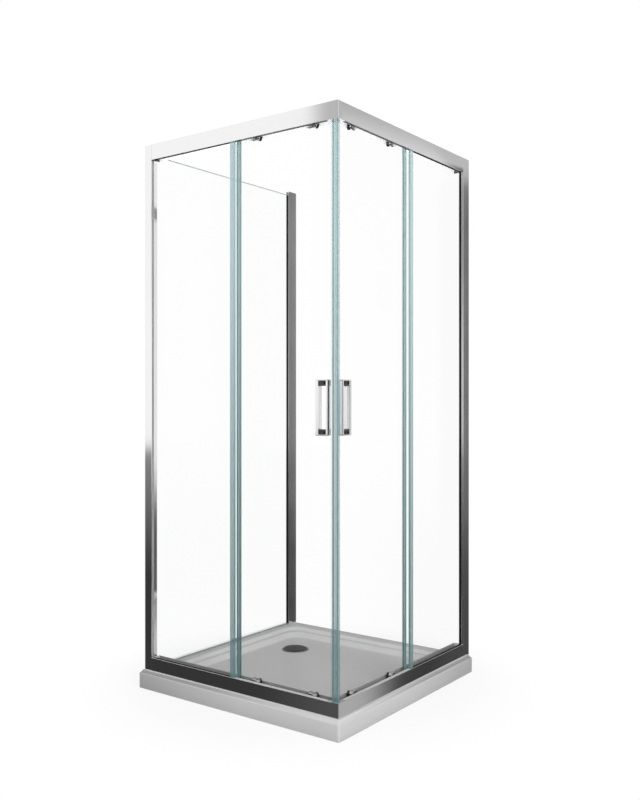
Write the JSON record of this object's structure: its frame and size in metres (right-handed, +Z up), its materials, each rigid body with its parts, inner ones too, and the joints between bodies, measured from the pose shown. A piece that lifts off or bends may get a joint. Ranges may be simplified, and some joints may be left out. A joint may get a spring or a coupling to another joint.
{
  "type": "corner shower enclosure with sliding doors",
  "caption": "Three-sided corner-entry shower enclosure on a low square tray, with two glass sliding doors that meet at the corner.",
  "frame": {"origin": "centre of the tray's underside, on the floor", "axes": "+X to the right-hand sliding face, +Y to the room wall that the enclosure stands against, +Z up; the doors meet at the +X -Y corner"},
  "size_m": [0.9, 0.9, 1.989],
  "materials": {
    "tray_acrylic": "gloss",
    "frame_metal": "polished",
    "corner_metal": "polished",
    "clear_glass": "clear",
    "clear_seal": "clear",
    "rubber": "matt",
    "dark_plastic": "matt",
    "light_plastic": "matt",
    "bright_chrome": "polished",
    "handle_chrome": "polished",
    "inlay_metal": "polished",
    "screw_steel": "satin",
    "wheel_plastic": "matt",
    "waste_plastic": "matt",
    "cover_metal": "satin"
  },
  "bodies": {
    "enclosure": {"shower_tray": "tray_acrylic", "waste_body": "waste_plastic", "waste_gasket": "rubber", "waste_locknut": "waste_plastic", "corner_post": "frame_metal", "right_wall_profile": "frame_metal", "right_frame_profile": "frame_metal", "left_wall_profile": "frame_metal", "front_header": "frame_metal", "right_header": "frame_metal", "front_sill": "frame_metal", "right_sill": "frame_metal", "header_corner": "corner_metal", "sill_corner": "corner_metal", "rail_end_caps": "dark_plastic", "front_fixed_glass": "clear_glass", "right_fixed_glass": "clear_glass", "side_glass": "clear_glass", "front_glass_gasket": "rubber", "right_glass_gasket": "rubber", "side_glass_gasket": "rubber", "side_bottom_seal": "clear_seal", "front_overlap_seal": "clear_seal", "right_overlap_seal": "clear_seal", "door_stops": "light_plastic", "channel_fillers": "light_plastic", "frame_screws": "screw_steel"},
    "front_door": {"front_door_glass": "clear_glass", "front_magnet_seal": "clear_seal", "front_trailing_seal": "clear_seal", "front_roller_carriages": "dark_plastic", "front_clamp_plates": "dark_plastic", "front_clamp_bolts": "bright_chrome", "front_handle_outer": "handle_chrome", "front_handle_inner": "handle_chrome", "front_handle_inlays": "inlay_metal", "front_handle_screws": "screw_steel"},
    "front_top_wheel_1": {"front_top_wheel_1": "wheel_plastic"},
    "front_top_wheel_2": {"front_top_wheel_2": "wheel_plastic"},
    "front_top_wheel_3": {"front_top_wheel_3": "wheel_plastic"},
    "front_top_wheel_4": {"front_top_wheel_4": "wheel_plastic"},
    "front_bottom_wheel_1": {"front_bottom_wheel_1": "wheel_plastic"},
    "front_bottom_wheel_2": {"front_bottom_wheel_2": "wheel_plastic"},
    "right_door": {"right_door_glass": "clear_glass", "right_magnet_seal": "clear_seal", "right_trailing_seal": "clear_seal", "right_roller_carriages": "dark_plastic", "right_clamp_plates": "dark_plastic", "right_clamp_bolts": "bright_chrome", "right_handle_outer": "handle_chrome", "right_handle_inner": "handle_chrome", "right_handle_inlays": "inlay_metal", "right_handle_screws": "screw_steel"},
    "right_top_wheel_1": {"right_top_wheel_1": "wheel_plastic"},
    "right_top_wheel_2": {"right_top_wheel_2": "wheel_plastic"},
    "right_top_wheel_3": {"right_top_wheel_3": "wheel_plastic"},
    "right_top_wheel_4": {"right_top_wheel_4": "wheel_plastic"},
    "right_bottom_wheel_1": {"right_bottom_wheel_1": "wheel_plastic"},
    "right_bottom_wheel_2": {"right_bottom_wheel_2": "wheel_plastic"},
    "waste_cover": {"waste_cover": "cover_metal"}
  },
  "joints": [
    {"name": "front_door_slide", "type": "slide", "parent": "enclosure", "child": "front_door", "axis": [-1, 0, 0], "range_m": [0, 0.32]},
    {"name": "front_top_wheel_1_spin", "type": "hinge", "parent": "front_door", "child": "front_top_wheel_1", "pos_m": [0.3295, -0.3999, 1.962], "axis": [0, -1, 0], "continuous": true},
    {"name": "front_top_wheel_2_spin", "type": "hinge", "parent": "front_door", "child": "front_top_wheel_2", "pos_m": [0.3065, -0.3999, 1.962], "axis": [0, -1, 0], "continuous": true},
    {"name": "front_top_wheel_3_spin", "type": "hinge", "parent": "front_door", "child": "front_top_wheel_3", "pos_m": [0.0925, -0.3999, 1.962], "axis": [0, -1, 0], "continuous": true},
    {"name": "front_top_wheel_4_spin", "type": "hinge", "parent": "front_door", "child": "front_top_wheel_4", "pos_m": [0.0695, -0.3999, 1.962], "axis": [0, -1, 0], "continuous": true},
    {"name": "front_bottom_wheel_1_spin", "type": "hinge", "parent": "front_door", "child": "front_bottom_wheel_1", "pos_m": [0.318, -0.3999, 0.083], "axis": [0, -1, 0], "continuous": true},
    {"name": "front_bottom_wheel_2_spin", "type": "hinge", "parent": "front_door", "child": "front_bottom_wheel_2", "pos_m": [0.081, -0.3999, 0.083], "axis": [0, -1, 0], "continuous": true},
    {"name": "right_door_slide", "type": "slide", "parent": "enclosure", "child": "right_door", "axis": [0, 1, 0], "range_m": [0, 0.332]},
    {"name": "right_top_wheel_1_spin", "type": "hinge", "parent": "right_door", "child": "right_top_wheel_1", "pos_m": [0.3999, -0.3295, 1.962], "axis": [-1, 0, 0], "continuous": true},
    {"name": "right_top_wheel_2_spin", "type": "hinge", "parent": "right_door", "child": "right_top_wheel_2", "pos_m": [0.3999, -0.3065, 1.962], "axis": [-1, 0, 0], "continuous": true},
    {"name": "right_top_wheel_3_spin", "type": "hinge", "parent": "right_door", "child": "right_top_wheel_3", "pos_m": [0.3999, -0.0925, 1.962], "axis": [-1, 0, 0], "continuous": true},
    {"name": "right_top_wheel_4_spin", "type": "hinge", "parent": "right_door", "child": "right_top_wheel_4", "pos_m": [0.3999, -0.0695, 1.962], "axis": [-1, 0, 0], "continuous": true},
    {"name": "right_bottom_wheel_1_spin", "type": "hinge", "parent": "right_door", "child": "right_bottom_wheel_1", "pos_m": [0.3999, -0.318, 0.083], "axis": [-1, 0, 0], "continuous": true},
    {"name": "right_bottom_wheel_2_spin", "type": "hinge", "parent": "right_door", "child": "right_bottom_wheel_2", "pos_m": [0.3999, -0.081, 0.083], "axis": [-1, 0, 0], "continuous": true},
    {"name": "waste_cover_lift", "type": "slide", "parent": "enclosure", "child": "waste_cover", "axis": [0, 0, 1], "range_m": [0, 0.05]}
  ],
  "couplings": [
    {"joint": "front_top_wheel_1_spin", "follows": "front_door_slide", "rad_per_m": 111.11},
    {"joint": "front_top_wheel_2_spin", "follows": "front_door_slide", "rad_per_m": 111.11},
    {"joint": "front_top_wheel_3_spin", "follows": "front_door_slide", "rad_per_m": 111.11},
    {"joint": "front_top_wheel_4_spin", "follows": "front_door_slide", "rad_per_m": 111.11},
    {"joint": "front_bottom_wheel_1_spin", "follows": "front_door_slide", "rad_per_m": 121.95},
    {"joint": "front_bottom_wheel_2_spin", "follows": "front_door_slide", "rad_per_m": 121.95},
    {"joint": "right_top_wheel_1_spin", "follows": "right_door_slide", "rad_per_m": 111.11},
    {"joint": "right_top_wheel_2_spin", "follows": "right_door_slide", "rad_per_m": 111.11},
    {"joint": "right_top_wheel_3_spin", "follows": "right_door_slide", "rad_per_m": 111.11},
    {"joint": "right_top_wheel_4_spin", "follows": "right_door_slide", "rad_per_m": 111.11},
    {"joint": "right_bottom_wheel_1_spin", "follows": "right_door_slide", "rad_per_m": 121.95},
    {"joint": "right_bottom_wheel_2_spin", "follows": "right_door_slide", "rad_per_m": 121.95}
  ]
}
